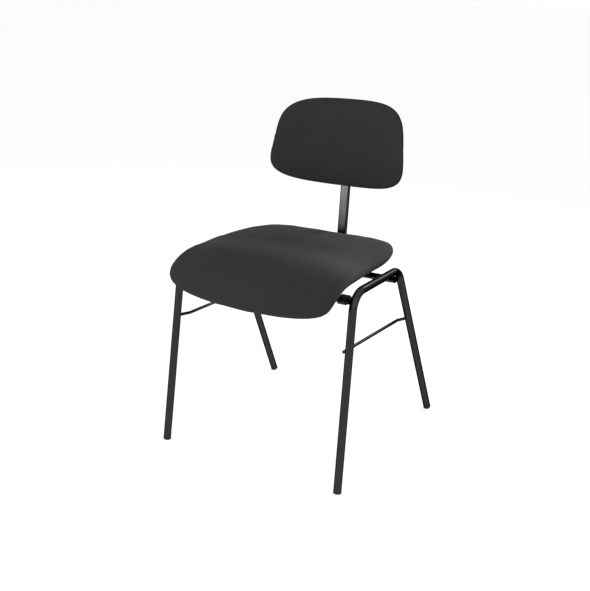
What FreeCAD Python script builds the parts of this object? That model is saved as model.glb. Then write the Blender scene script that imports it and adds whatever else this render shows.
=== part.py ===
import FreeCAD, Part
import math
import os
import Sketcher

# A stacking choir chair. Two bent-tube side frames stand on four glides and are joined by
# two flat-oval cross members and one thin rod in each side. A flat post under the cross
# members turns up behind the seat and carries the backrest.
# The origin is on the floor under the middle of the chair, +Z is up, the sitter faces -Y,
# and +X is the sitter's left, called left in the names of the pieces.

doc = FreeCAD.newDocument("choir_chair")
Vector = FreeCAD.Vector
Rotation = FreeCAD.Rotation
Placement = FreeCAD.Placement
UP = Vector(0, 0, 1)

DRIVING_SIZES = [
    ("tube_diameter", 20.0),
    ("tube_wall", 1.5),
    ("run_half_spacing", 249.6),
    ("foot_half_spacing", 258.8),
    ("front_foot_reach", 259.2),
    ("rear_foot_reach", 271.8),
    ("front_bend_reach", 173.7),
    ("front_bend_height", 478.0),
    ("rear_bend_reach", 61.3),
    ("rear_bend_height", 472.0),
    ("tube_bend_radius", 47.0),
    ("glide_head", 9.0),
    ("glide_rim", 0.3),
    ("glide_dome_radius", 18.0),
    ("glide_sole_wear", 0.4),
    ("glide_stem", 20.0),
    ("glide_stem_play", 0.15),
    ("member_width", 26.0),
    ("member_height", 12.0),
    ("member_wall", 1.5),
    ("front_member_reach", 175.4),
    ("front_member_drop", 16.7),
    ("rear_member_setback", 12.0),
    ("rear_member_end", 4.0),
    ("weld_gap", 0.02),
    ("buffer_length", 20.0),
    ("buffer_wall", 3.6),
    ("buffer_setback", 5.0),
    ("buffer_play", 0.1),
    ("rod_diameter", 8.0),
    ("left_rod_front_height", 341.5),
    ("left_rod_rear_height", 321.0),
    ("right_rod_front_height", 336.5),
    ("right_rod_rear_height", 320.0),
    ("rod_kick_length", 26.0),
    ("rod_overrun", 2.0),
    ("rod_bend_radius", 18.0),
    ("post_width", 27.0),
    ("post_depth", 12.0),
    ("post_corner", 4.0),
    ("post_wall", 2.0),
    ("post_bend_radius", 60.0),
    ("post_reach", 225.5),
    ("post_reach_height", 497.4),
    ("post_lean", 7.7),
    ("post_top_height", 818.0),
    ("post_front_overrun", 8.0),
    ("post_seat", 0.25),
    ("plug_cap", 2.0),
    ("plug_depth", 14.0),
    ("plug_play", 0.1),
    ("seat_half_width", 233.6),
    ("seat_half_length", 261.0),
    ("seat_front_bow", 14.4),
    ("seat_taper", 0.019),
    ("seat_front_power", 7.3),
    ("seat_rear_power", 3.3),
    ("seat_peak_reach", 70.3),
    ("seat_peak_height", 497.7),
    ("seat_lip_length", 73.1),
    ("seat_brow_length", 81.8),
    ("seat_crown_length", 93.2),
    ("seat_hollow_length", 140.1),
    ("seat_lip_angle", 136.5),
    ("seat_brow_angle", 30.9),
    ("seat_crown_angle", -1.8),
    ("seat_hollow_angle", -6.5),
    ("seat_tail_angle", -1.2),
    ("seat_rear_angle", 3.1),
    ("seat_lip_dish", -18.9),
    ("seat_peak_dish", 10.2),
    ("seat_rear_dish", 18.2),
    ("seat_crown", 29.1),
    ("seat_crown_power", 2.83),
    ("seat_depth_below", 18.5),
    ("seat_side_power", 40.0),
    ("cover_thickness", 1.5),
    ("layer_gap", 0.1),
    ("seat_board_thickness", 9.5),
    ("seat_board_side_setback", 24.0),
    ("seat_board_rear_setback", 26.0),
    ("seat_board_front_setback", 84.0),
    ("seat_turn_under", 46.0),
    ("seat_opening_corner", 36.0),
    ("liner_thickness", 1.2),
    ("seat_opening_front", 199.7),
    ("seat_opening_rear", 152.3),
    ("seat_screw_half_spacing", 140.0),
    ("screw_diameter", 6.0),
    ("screw_head_diameter", 10.5),
    ("screw_head_height", 3.3),
    ("screw_socket", 4.0),
    ("screw_socket_depth", 2.0),
    ("screw_hole_play", 0.3),
    ("washer_diameter", 14.0),
    ("washer_thickness", 1.2),
    ("spacer_diameter", 20.0),
    ("nut_barrel_diameter", 8.0),
    ("nut_flange_diameter", 19.0),
    ("nut_flange_thickness", 1.5),
    ("nut_pocket_play", 0.4),
    ("back_half_width", 194.0),
    ("back_half_height", 105.5),
    ("back_taper", 0.083),
    ("back_top_power", 4.1),
    ("back_bottom_power", 4.8),
    ("back_top_bow", 1.7),
    ("back_bottom_bow", 19.0),
    ("back_reach", 234.6),
    ("back_height", 749.5),
    ("back_lean", 10.1),
    ("back_bend_radius", 380.0),
    ("back_edge_set", 3.0),
    ("back_crown", 20.0),
    ("back_crown_power", 2.6),
    ("back_shell_depth", 12.0),
    ("back_shell_wall", 2.2),
    ("back_side_power", 20.0),
    ("back_board_thickness", 7.5),
    ("back_board_setback", 20.0),
    ("back_screw_half_spacing", 30.0),
    ("back_spacer_diameter", 16.0),
]

sheet = doc.addObject("Spreadsheet::Sheet", "Sizes")
for row, (alias, value) in enumerate(DRIVING_SIZES, 1):
    sheet.set("A%d" % row, alias)
    sheet.set("B%d" % row, str(value))
    sheet.setAlias("B%d" % row, alias)
doc.recompute()


def size(alias):
    """The number that the sheet holds under this alias."""
    return float(sheet.get(alias))


nodes = []


def keep(piece, label):
    """Name a finished piece and put it on the list of nodes."""
    piece.Label = label
    nodes.append(piece)
    return piece


def plane_of(body, role):
    """The body's own origin plane with this role."""
    for feature in body.Origin.OriginFeatures:
        if feature.Role == role:
            return feature
    raise RuntimeError("no origin plane " + role)


def new_sketch(body, role, name, offset=None):
    """An attached sketch on one of the body's origin planes."""
    sketch = body.newObject("Sketcher::SketchObject", name)
    sketch.AttachmentSupport = (plane_of(body, role), [""])
    sketch.MapMode = "FlatFace"
    if offset is not None:
        sketch.AttachmentOffset = offset
    return sketch


def draw_circle(sketch, expression, name):
    """A circle about the sketch's origin whose radius follows the sheet."""
    index = sketch.addGeometry(Part.Circle(Vector(0, 0, 0), UP, 10.0), False)
    sketch.addConstraint(Sketcher.Constraint("Coincident", index, 3, -1, 1))
    place = sketch.addConstraint(Sketcher.Constraint("Radius", index, 10.0))
    sketch.renameConstraint(place, name)
    sketch.setExpression("Constraints." + name, expression)


def draw_slot(sketch, width, height, corner):
    """A rectangle with rounded corners about the sketch's origin. A corner of half the
    height gives a flat oval."""
    flat = max(width / 2 - corner, 0.0)
    rise = max(height / 2 - corner, 0.0)
    turn = math.pi / 2
    centres = [(flat, rise, 0), (-flat, rise, 1), (-flat, -rise, 2), (flat, -rise, 3)]
    ends = []
    for across, up, quarter in centres:
        circle = Part.Circle(Vector(across, up, 0), UP, corner)
        arc = Part.ArcOfCircle(circle, quarter * turn, (quarter + 1) * turn)
        sketch.addGeometry(arc, False)
        ends.append((arc.StartPoint, arc.EndPoint))
    for here in range(4):
        leave = ends[here][1]
        arrive = ends[(here + 1) % 4][0]
        if leave.distanceToPoint(arrive) > 1e-6:
            sketch.addGeometry(Part.LineSegment(leave, arrive), False)


def draw_route(sketch, points, radius):
    """Straight runs through the points with a tangent arc of one radius at each corner."""
    here = Vector(*points[0], 0)
    for before, corner, after in zip(points, points[1:], points[2:]):
        corner = Vector(*corner, 0)
        arrive = (corner - Vector(*before, 0)).normalize()
        leave = (Vector(*after, 0) - corner).normalize()
        turn = arrive.getAngle(leave)
        reach = radius * math.tan(turn / 2)
        start = corner - arrive * reach
        end = corner + leave * reach
        inward = (leave - arrive).normalize()
        middle = corner + inward * (radius / math.cos(turn / 2) - radius)
        sketch.addGeometry(Part.LineSegment(here, start), False)
        sketch.addGeometry(Part.Arc(start, middle, end), False)
        here = end
    sketch.addGeometry(Part.LineSegment(here, Vector(*points[-1], 0)), False)


def pipe(body, profile, route):
    """A tube: the profile carried along the route."""
    feature = body.newObject("PartDesign::AdditivePipe", "Tube")
    feature.Profile = profile
    feature.Spine = (route, [""])
    feature.Mode = "Standard"
    body.Tip = feature
    return feature


# The side frame lies in a plane that leans inward from the feet to the top run.
tube_radius = size("tube_diameter") / 2
splay = math.atan2(size("foot_half_spacing") - size("run_half_spacing"), size("front_bend_height"))


def leg_half_spacing(height):
    """How far a frame tube's centre line is from the middle plane at this height."""
    return size("foot_half_spacing") - height * math.tan(splay)


front_foot = (-size("front_foot_reach"), 0.0)
rear_foot = (size("rear_foot_reach"), 0.0)
front_corner = (-size("front_bend_reach"), size("front_bend_height"))
rear_corner = (size("rear_bend_reach"), size("rear_bend_height"))


def toward(start, end, distance):
    """The point at this distance from start on the way to end."""
    length = math.dist(start, end)
    return tuple(a + (b - a) * distance / length for a, b in zip(start, end))


def in_frame_plane(point):
    """A point of the side view, measured along the leaning plane of a side frame."""
    return (point[0], point[1] / math.cos(splay))


for side, sign in (("left", 1), ("right", -1)):
    body = doc.addObject("PartDesign::Body", side + "_frame_tube")
    route = new_sketch(body, "YZ_Plane", side + "_frame_route")
    front_end = toward(front_foot, front_corner, size("glide_head"))
    rear_end = toward(rear_foot, rear_corner, size("glide_head"))
    stations = [in_frame_plane(p) for p in (front_end, front_corner, rear_corner, rear_end)]
    draw_route(route, stations, size("tube_bend_radius"))
    rise = math.degrees(math.atan2(stations[1][1] - stations[0][1], stations[1][0] - stations[0][0]))
    start = Placement(Vector(0, *stations[0]), Rotation(Vector(1, 0, 0), rise - 90))
    ring = new_sketch(body, "XY_Plane", side + "_frame_ring", start)
    draw_circle(ring, "Sizes.tube_diameter / 2", "outer")
    draw_circle(ring, "Sizes.tube_diameter / 2 - Sizes.tube_wall", "bore")
    pipe(body, ring, route)
    lean = Rotation(Vector(0, 1, 0), -sign * math.degrees(splay))
    body.Placement = Placement(Vector(sign * size("foot_half_spacing"), 0, 0), lean)
    keep(body, side + "_side_frame")


# The glides: a domed head as wide as the tube, a stem pushed up into it and a small flat sole.
def glide(side, sign, end, foot, corner):
    name = end + "_" + side + "_glide"
    base = Vector(sign * leg_half_spacing(foot[1]), *foot)
    top = Vector(sign * leg_half_spacing(corner[1]), *corner)
    axis = (top - base).normalize()
    body = doc.addObject("PartDesign::Body", name + "_form")
    profile = new_sketch(body, "XZ_Plane", name + "_profile")
    dome = size("glide_dome_radius")
    centre = (dome - size("glide_sole_wear")) / axis.z
    rim = tube_radius + size("glide_rim")
    shoulder = centre - math.sqrt(dome ** 2 - rim ** 2)
    stem = tube_radius - size("tube_wall") - size("glide_stem_play")
    head = size("glide_head")
    tip = head + size("glide_stem")
    middle = math.asin(rim / dome) / 2
    bulge = Vector(dome * math.sin(middle), centre - dome * math.cos(middle), 0)
    corners = [(rim, shoulder), (rim, head), (stem, head), (stem, tip), (0, tip)]
    corners = [Vector(*c, 0) for c in corners]
    pole = Vector(0, centre - dome, 0)
    profile.addGeometry(Part.Arc(pole, bulge, corners[0]), False)
    for a, b in zip(corners, corners[1:]):
        profile.addGeometry(Part.LineSegment(a, b), False)
    profile.addGeometry(Part.LineSegment(corners[-1], pole), False)
    turned = body.newObject("PartDesign::Revolution", name + "_turned")
    turned.Profile = profile
    turned.ReferenceAxis = (profile, ["V_Axis"])
    turned.Angle = 360
    body.Tip = turned
    body.Placement = Placement(base, Rotation(UP, axis))
    floor = doc.addObject("Part::Box", name + "_floor")
    for edge in ("Length", "Width", "Height"):
        floor.setExpression(edge, "Sizes.tube_diameter * 3")
    half = size("tube_diameter") * 1.5
    floor.Placement.Base = base - Vector(half, half, half * 2)
    sole = doc.addObject("Part::Cut", name + "_piece")
    sole.Base = body
    sole.Tool = floor
    keep(sole, name)


for side, sign in (("left", 1), ("right", -1)):
    glide(side, sign, "front", front_foot, front_corner)
    glide(side, sign, "rear", rear_foot, rear_corner)


# The two cross members are flat-oval tubes. The front one ends at the inner side of the
# tubes. The rear one lies in the inner corner of the rear bends, under the top runs.
member_half = size("member_height") / 2
member_flat = size("member_width") / 2 - member_half
front_member = (-size("front_member_reach"), size("front_bend_height") - size("front_member_drop"))
front_member_end = leg_half_spacing(front_member[1]) - tube_radius - size("weld_gap")


def bend_centre(before, corner, after, radius):
    """The centre of the arc that rounds a corner of the side view."""
    one = toward(corner, before, 1.0)
    two = toward(corner, after, 1.0)
    half = (one[0] + two[0] - 2 * corner[0], one[1] + two[1] - 2 * corner[1])
    angle = math.acos(math.hypot(*half) / 2)
    reach = radius / math.sin(angle)
    scale = reach / math.hypot(*half)
    return (corner[0] + half[0] * scale, corner[1] + half[1] * scale)


rear_bend = bend_centre(front_corner, rear_corner, rear_foot, size("tube_bend_radius"))
nose_offset = size("rear_member_setback") + member_flat
nose_distance = size("tube_bend_radius") - tube_radius - member_half - size("weld_gap")
rear_member = (
    rear_bend[0] + size("rear_member_setback"),
    rear_bend[1] + math.sqrt(nose_distance ** 2 - nose_offset ** 2),
)
rear_member_end = leg_half_spacing(rear_member[1]) + size("rear_member_end")
hole_radius = size("screw_diameter") / 2 + size("screw_hole_play")


def cross_member(name, place, half_length):
    body = doc.addObject("PartDesign::Body", name + "_tube")
    outline = new_sketch(body, "YZ_Plane", name + "_outline")
    draw_slot(outline, size("member_width"), size("member_height"), member_half)
    wall = size("member_wall")
    inner = member_half - wall
    draw_slot(outline, size("member_width") - 2 * wall, size("member_height") - 2 * wall, inner)
    pad = body.newObject("PartDesign::Pad", name + "_pad")
    pad.Profile = outline
    pad.SideType = "Symmetric"
    pad.Length = 2 * half_length
    body.Tip = pad
    doc.recompute()
    full = body.Shape.Volume
    holes = new_sketch(body, "XY_Plane", name + "_holes")
    for sign in (-1, 1):
        spot = Vector(sign * size("seat_screw_half_spacing"), 0, 0)
        holes.addGeometry(Part.Circle(spot, UP, hole_radius), False)
    pocket = body.newObject("PartDesign::Pocket", name + "_screw_holes")
    pocket.Profile = holes
    pocket.SideType = "Symmetric"
    pocket.Length = 4 * size("member_height")
    body.Tip = pocket
    body.Placement.Base = Vector(0, *place)
    doc.recompute()
    if body.Shape.Volume >= full:
        raise RuntimeError("the screw holes cut nothing in " + name)
    keep(body, name)


cross_member("front_cross_member", front_member, front_member_end)
cross_member("rear_cross_member", rear_member, rear_member_end)


# The stacking buffers are plastic sleeves on the ends of the front cross member.
for side, sign in (("left", 1), ("right", -1)):
    name = side + "_stacking_buffer"
    body = doc.addObject("PartDesign::Body", name + "_sleeve")
    outline = new_sketch(body, "YZ_Plane", name + "_outline")
    play = 2 * size("buffer_play")
    wall = 2 * size("buffer_wall") + play
    draw_slot(outline, size("member_width") + wall, size("member_height") + wall, member_half + wall / 2)
    draw_slot(outline, size("member_width") + play, size("member_height") + play, member_half + play / 2)
    pad = body.newObject("PartDesign::Pad", name + "_pad")
    pad.Profile = outline
    pad.SideType = "Symmetric"
    pad.setExpression("Length", "Sizes.buffer_length")
    body.Tip = pad
    middle = front_member_end - size("buffer_setback") - size("buffer_length") / 2
    body.Placement.Base = Vector(sign * middle, *front_member)
    keep(body, name)


# The side rods are one pattern, used twice, the right one turned round. The straight end
# passes the inner side of one leg. The kicked end meets the other leg from inside.
rod_radius = size("rod_diameter") / 2


def leg_reach(height, foot, corner):
    """The Y of a leg's centre line at this height."""
    return foot[0] + (corner[0] - foot[0]) * height / corner[1]


def side_rod(name, sign, passed, met, way):
    """A rod that passes one leg and meets the other. Each leg is given as its foot, its
    corner and the rod's height there, and way is the rod's direction along Y."""
    pass_foot, pass_corner, pass_height = passed
    meet_foot, meet_corner, meet_height = met
    inside = leg_half_spacing(pass_height) - tube_radius - rod_radius - size("weld_gap")
    slant = math.hypot(1, (meet_corner[0] - meet_foot[0]) / meet_corner[1])
    meet = leg_reach(meet_height, meet_foot, meet_corner)
    leave = leg_reach(pass_height, pass_foot, pass_corner) - way * size("rod_overrun")
    kick = meet - way * (tube_radius * slant + size("rod_kick_length"))
    slope = math.atan2(meet_height - pass_height, meet - leave)
    body = doc.addObject("PartDesign::Body", name + "_bar")
    route = new_sketch(body, "XY_Plane", name + "_route")
    side = sign * inside
    far = sign * leg_half_spacing(meet_height)
    flat = math.cos(slope)
    points = [(side, 0.0), (side, (kick - leave) / flat), (far, (meet - leave) / flat)]
    draw_route(route, points, size("rod_bend_radius"))
    section = new_sketch(body, "XZ_Plane", name + "_section", Placement(Vector(side, 0, 0), Rotation()))
    draw_circle(section, "Sizes.rod_diameter / 2", "outer")
    pipe(body, section, route)
    tilt = Rotation(Vector(1, 0, 0), math.degrees(slope))
    body.Placement = Placement(Vector(0, leave, pass_height), tilt)
    leg = doc.addObject("Part::Cylinder", name + "_leg")
    leg.setExpression("Radius", "Sizes.tube_diameter / 2 + Sizes.weld_gap")
    leg.setExpression("Height", "Sizes.front_bend_height")
    base = Vector(sign * leg_half_spacing(0), *meet_foot)
    top = Vector(sign * leg_half_spacing(meet_corner[1]), *meet_corner)
    leg.Placement = Placement(base, Rotation(UP, top - base))
    rod = doc.addObject("Part::Cut", name + "_piece")
    rod.Base = body
    rod.Tool = leg
    keep(rod, name)


side_rod(
    "left_side_rod", 1, (front_foot, front_corner, size("left_rod_front_height")),
    (rear_foot, rear_corner, size("left_rod_rear_height")), 1,
)
side_rod(
    "right_side_rod", -1, (rear_foot, rear_corner, size("right_rod_rear_height")),
    (front_foot, front_corner, size("right_rod_front_height")), -1,
)


# The post is a flat tube with rounded corners. Its lower run lies under both cross members.
front_under = (front_member[0], front_member[1] - member_half)
rear_under = (rear_member[0], rear_member[1] - member_half)
run_slope = math.atan2(rear_under[1] - front_under[1], rear_under[0] - front_under[0])
run_depth = (size("post_depth") / 2 + size("post_seat")) / math.cos(run_slope)
post_lean = math.radians(size("post_lean"))


def run_height(reach):
    """The height of the lower run's centre line at this Y."""
    return front_under[1] - run_depth + (reach - front_under[0]) * math.tan(run_slope)


def post_reach(height):
    """The Y of the upright part's centre line at this height."""
    return size("post_reach") + (height - size("post_reach_height")) * math.tan(post_lean)


run_start = front_member[0] - member_flat - size("post_front_overrun")
rise_here = run_height(post_reach(0.0))
steep = 1 - math.tan(post_lean) * math.tan(run_slope)
corner_height = rise_here / steep
post_points = [
    (run_start, run_height(run_start)),
    (post_reach(corner_height), corner_height),
    (post_reach(size("post_top_height")), size("post_top_height")),
]
body = doc.addObject("PartDesign::Body", "back_post_tube")
route = new_sketch(body, "YZ_Plane", "back_post_route")
draw_route(route, post_points, size("post_bend_radius"))
turn_to_run = Rotation(Vector(1, 0, 0), math.degrees(run_slope))
start = Placement(Vector(0, post_points[0][1], -post_points[0][0]), turn_to_run)
ring = new_sketch(body, "XZ_Plane", "back_post_ring", start)
draw_slot(ring, size("post_width"), size("post_depth"), size("post_corner"))
post_bore = (
    size("post_width") - 2 * size("post_wall"),
    size("post_depth") - 2 * size("post_wall"),
    size("post_corner") - size("post_wall"),
)
draw_slot(ring, *post_bore)
pipe(body, ring, route)
doc.recompute()

# Two screws hold the backrest, through the post at right angles to it.
post_axis = Vector(0, math.sin(post_lean), math.cos(post_lean))
post_back = Vector(0, math.cos(post_lean), -math.sin(post_lean))
post_middle = Vector(0, post_reach(size("back_height")), size("back_height"))
back_screw_spots = [post_middle + post_axis * (side * size("back_screw_half_spacing")) for side in (-1, 1)]


def rod_between(centre, direction, start, end, radius):
    """A solid cylinder on the line through centre, between two distances along direction."""
    return Part.makeCylinder(radius, end - start, centre + direction * start, direction)


def hole_cutter(name, spots, direction, reach, expression):
    """A set of cylinders along one direction, for cutting screw holes."""
    cutters = []
    for number, spot in enumerate(spots):
        cutter = doc.addObject("Part::Cylinder", "%s_%d" % (name, number))
        cutter.setExpression("Radius", expression)
        cutter.Height = 2 * reach
        cutter.Placement = Placement(spot - direction * reach, Rotation(UP, direction))
        cutters.append(cutter)
    group = doc.addObject("Part::MultiFuse", name)
    group.Shapes = cutters
    return group


drilled = doc.addObject("Part::Cut", "back_post_drilled")
drilled.Base = body
drilled.Tool = hole_cutter(
    "back_post_holes", back_screw_spots, post_back, size("post_depth"),
    "Sizes.screw_diameter / 2 + Sizes.screw_hole_play",
)
keep(drilled, "back_post")


# Plastic plugs close the two open ends of the post.
def post_plug(name, tip, turn):
    body = doc.addObject("PartDesign::Body", name + "_moulding")
    cap = new_sketch(body, "XY_Plane", name + "_cap")
    draw_slot(cap, size("post_width"), size("post_depth"), size("post_corner"))
    lid = body.newObject("PartDesign::Pad", name + "_lid")
    lid.Profile = cap
    lid.setExpression("Length", "Sizes.plug_cap")
    plug = new_sketch(body, "XY_Plane", name + "_plug")
    play = size("plug_play")
    draw_slot(plug, post_bore[0] - 2 * play, post_bore[1] - 2 * play, post_bore[2] - play)
    tongue = body.newObject("PartDesign::Pad", name + "_tongue")
    tongue.Profile = plug
    tongue.Reversed = True
    tongue.setExpression("Length", "Sizes.plug_depth")
    body.Tip = tongue
    body.Placement = Placement(tip, turn)
    keep(body, name)


post_tip = Vector(0, *post_points[2])
post_plug("post_top_plug", post_tip, Rotation(Vector(1, 0, 0), -size("post_lean")))
run_turn = Rotation(Vector(1, 0, 0), 90 + math.degrees(run_slope))
post_plug("post_front_plug", Vector(0, *post_points[0]), run_turn)


# The cushions. A cushion is a closed form about a curved middle surface. Its outline is a
# power oval, and it is thickest in the middle and runs out to nothing at the outline.
ACROSS = [0.0, 0.3, 0.55, 0.75, 0.88, 0.95, 0.985, 0.997]
ALONG = [1.0, 0.997, 0.985, 0.955, 0.9, 0.8, 0.65, 0.35, 0.0]
ALONG = ALONG + [-share for share in reversed(ALONG[:-1])]


def oval_edge(part, power):
    """How far the oval reaches along, as a share, at this share of its half width."""
    return (1 - part ** power) ** (1 / power)


def arc_chain(points):
    """Arcs through the points, each through three of them."""
    return [Part.Arc(*points[first:first + 3]).toShape() for first in range(0, len(points) - 2, 2)]


def cushion_form(half_width, reach, powers, point, above, below):
    """A closed solid lofted across the width. reach(x, way) is the half length at x on each
    way along, point(x, along, lift) is a point off the middle surface, and above and below
    give the lift of the two faces for a share of the way out to the outline."""
    wires = []
    parts = [-part for part in reversed(ACROSS[1:])] + ACROSS
    for part in parts:
        x = part * half_width
        stations = []
        for share in ALONG:
            way = 1 if share >= 0 else -1
            power = powers[way]
            along = share * reach(x, way) * oval_edge(abs(part), power)
            out = (abs(part) ** power + abs(along / reach(x, way)) ** power) ** (1 / power)
            stations.append((along, min(out, 1.0)))
        upper = [point(x, along, above(out)) for along, out in stations]
        lower = [point(x, along, below(out)) for along, out in stations]
        lower[0], lower[-1] = upper[0], upper[-1]
        wires.append(Part.Wire(arc_chain(upper) + arc_chain(list(reversed(lower)))))
    return Part.makeLoft(wires, True, False)


def layer_form(half_width, reach, powers, point, top, bottom):
    """A board between two lifts in the same outline, with square edges all round."""
    wires = []
    parts = [-part for part in reversed(ACROSS[1:6])] + ACROSS[:6]
    steps = len(ALONG) - 1
    for part in parts:
        x = part * half_width
        ends = {way: way * reach(x, way) * oval_edge(abs(part), powers[way]) for way in (1, -1)}
        along = [ends[1] + (ends[-1] - ends[1]) * step / steps for step in range(steps + 1)]
        upper = [point(x, here, top) for here in along]
        lower = [point(x, here, bottom) for here in reversed(along)]
        front = Part.LineSegment(upper[-1], lower[0]).toShape()
        rear = Part.LineSegment(lower[-1], upper[0]).toShape()
        wires.append(Part.Wire(arc_chain(upper) + [front] + arc_chain(lower) + [rear]))
    return Part.makeLoft(wires, True, False)


# The seat's middle surface runs from the rolled front lip over a crest, through a shallow
# hollow to the rear edge, as a chain of arcs, and rises towards the sides.
tail_length = 2 * size("seat_half_length") - sum(
    size(name) for name in ("seat_lip_length", "seat_brow_length", "seat_crown_length", "seat_hollow_length")
)
seat_chain = [
    (size("seat_lip_length"), size("seat_lip_angle"), size("seat_brow_angle")),
    (size("seat_brow_length"), size("seat_brow_angle"), size("seat_crown_angle")),
    (size("seat_crown_length"), size("seat_crown_angle"), size("seat_hollow_angle")),
    (size("seat_hollow_length"), size("seat_hollow_angle"), size("seat_tail_angle")),
    (tail_length, size("seat_tail_angle"), size("seat_rear_angle")),
]
PEAK_NODE = 3


def arc_step(length, start, end):
    """The move along an arc that turns evenly from one angle to another."""
    if abs(end - start) < 1e-9:
        return length * math.cos(start), length * math.sin(start)
    bend = length / (end - start)
    return bend * (math.sin(end) - math.sin(start)), bend * (math.cos(start) - math.cos(end))


def walk(distance):
    """Y, Z and slope after this distance along the chain from its front end."""
    y = z = 0.0
    if distance < 0:
        angle = math.radians(seat_chain[0][1])
        return distance * math.cos(angle), distance * math.sin(angle), angle
    for length, start, end in seat_chain:
        start, end = math.radians(start), math.radians(end)
        if distance <= length:
            angle = start + (end - start) * distance / length
            dy, dz = arc_step(distance, start, angle)
            return y + dy, z + dz, angle
        dy, dz = arc_step(length, start, end)
        y, z = y + dy, z + dz
        distance -= length
    return y + distance * math.cos(end), z + distance * math.sin(end), end


peak_distance = sum(length for length, start, end in seat_chain[:PEAK_NODE])
peak_y, peak_z, peak_slope = walk(peak_distance)


def seat_dish(distance):
    """How much the sides rise above the middle at this distance from the front."""
    if distance < peak_distance:
        share = max(distance, 0.0) / peak_distance
        return size("seat_lip_dish") + (size("seat_peak_dish") - size("seat_lip_dish")) * share
    share = min((distance - peak_distance) / (2 * size("seat_half_length") - peak_distance), 1.0)
    return size("seat_peak_dish") + (size("seat_rear_dish") - size("seat_peak_dish")) * share


def seat_point(x, along, lift):
    """A point of the seat, along from its middle towards the rear, lifted off the surface.
    The points of one x lie in one upright plane, turned a little by the seat's taper."""
    distance = along + size("seat_half_length")
    y, z, angle = walk(distance)
    lift = lift + seat_dish(distance) * (x / size("seat_half_width")) ** 2
    y = y - peak_y - lift * math.sin(angle)
    z = z - peak_z + lift * math.cos(angle)
    x = x * (1 - size("seat_taper") * y / size("seat_half_length"))
    return Vector(x, y - size("seat_peak_reach"), z + size("seat_peak_height"))


def seat_reach(front_inset, rear_inset):
    """The half length of the seat at x, to the rear and to the bowed front."""
    def reach(x, way):
        if way > 0:
            return size("seat_half_length") - rear_inset
        bow = size("seat_front_bow") * (1 - (x / size("seat_half_width")) ** 2)
        return size("seat_half_length") + bow - front_inset
    return reach


seat_powers = {1: size("seat_rear_power"), -1: size("seat_front_power")}


def seat_cushion(inset):
    """The seat's outer form, drawn in all round by inset."""
    crown = size("seat_crown") - inset
    depth = size("seat_depth_below") - inset
    return cushion_form(
        size("seat_half_width") - inset, seat_reach(inset, inset), seat_powers, seat_point,
        lambda out: crown * math.sqrt(1 - out ** size("seat_crown_power")),
        lambda out: -depth * math.sqrt(1 - out ** size("seat_side_power")),
    )


def seat_layer(top, bottom, spread):
    """A board of the seat, spread wider than the seat board's own outline."""
    half_width = size("seat_half_width") - size("seat_board_side_setback") + spread
    front = size("seat_board_front_setback") - spread
    rear = size("seat_board_rear_setback") - spread
    return layer_form(half_width, seat_reach(front, rear), seat_powers, seat_point, top, bottom)


def feature(label, shape):
    """A finished piece from a worked-out shape."""
    piece = doc.addObject("Part::Feature", label + "_piece")
    piece.Shape = shape
    return keep(piece, label)


cover = size("cover_thickness")
gap = size("layer_gap")
board_bottom = -(size("seat_depth_below") - cover - gap * 3)
board_top = board_bottom + size("seat_board_thickness")
flange_thickness = size("nut_flange_thickness")
flange_radius = size("nut_flange_diameter") / 2
flange_pocket = flange_radius + size("nut_pocket_play")
barrel_hole = size("nut_barrel_diameter") / 2 + size("screw_hole_play")
SCREW_REACH = 60.0


def seat_height(x, y, lift):
    """The height of the seat's surface, lifted off its middle, above one point."""
    low, high = -size("seat_half_length"), size("seat_half_length")
    for _ in range(40):
        middle = (low + high) / 2
        if seat_point(x, middle, lift).y < y:
            low = middle
        else:
            high = middle
    return seat_point(x, low, lift).z


def lowest_near(spot, radius, lift):
    """The lowest height of the seat's surface over a round patch."""
    ring = [step * math.pi / 4 for step in range(8)]
    return min(seat_height(spot.x + radius * math.cos(a), spot.y + radius * math.sin(a), lift) for a in ring)


# Each seat screw stands upright in a cross member, a spacer, the board and a flanged nut.
# The nut's flange lies in a flat seat sunk into the top of the board.
seat_screws = []
for place in (front_member, rear_member):
    for sign in (-1, 1):
        seat_screws.append(Vector(sign * size("seat_screw_half_spacing"), *place))
nut_seats = [
    Vector(spot.x, spot.y, lowest_near(spot, flange_radius, board_top) - gap) for spot in seat_screws
]

board = seat_layer(board_top, board_bottom, 0.0)
foam = seat_cushion(cover + gap).cut(seat_layer(board_top + gap, board_bottom - cover, gap))
for seat in nut_seats:
    board = board.cut(rod_between(seat, UP, -SCREW_REACH, SCREW_REACH, barrel_hole))
    board = board.cut(rod_between(seat, UP, 0, SCREW_REACH, flange_pocket))
    foam = foam.cut(rod_between(seat, UP, -SCREW_REACH, flange_thickness + gap * 2, flange_pocket))
feature("seat_board", board)
feature("seat_foam", foam)

opening_half = size("seat_half_width") - size("seat_turn_under")
under_level = front_member[1] - size("member_height")


def underside_opening(inset):
    """The opening in the underside of the cover, rounded at its corners."""
    front = inset - size("seat_opening_front")
    long = size("seat_opening_rear") - inset - front
    wide = 2 * (opening_half - inset)
    tall = size("seat_peak_height") + board_bottom / 2 - under_level
    block = Part.makeBox(wide, long, tall, Vector(-wide / 2, front, under_level))
    upright = [edge for edge in block.Edges if abs(edge.tangentAt(edge.FirstParameter).z) > 0.9]
    return block.makeFillet(size("seat_opening_corner") - inset, upright)


feature("seat_cover", seat_cushion(0.0).cut(seat_cushion(cover)).cut(underside_opening(0.0)))

liner_top = board_bottom - gap
liner = seat_layer(liner_top, liner_top - size("liner_thickness"), -gap).common(underside_opening(gap * 3))
for spot in seat_screws:
    liner = liner.cut(rod_between(spot, UP, 0, SCREW_REACH, size("spacer_diameter") / 2 + gap))
feature("seat_liner", liner)


def nearest_solid(shape, spot):
    """The solid of a cut shape that lies nearest to a point."""
    return min(shape.Solids, key=lambda solid: solid.CenterOfMass.distanceToPoint(spot))


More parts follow.
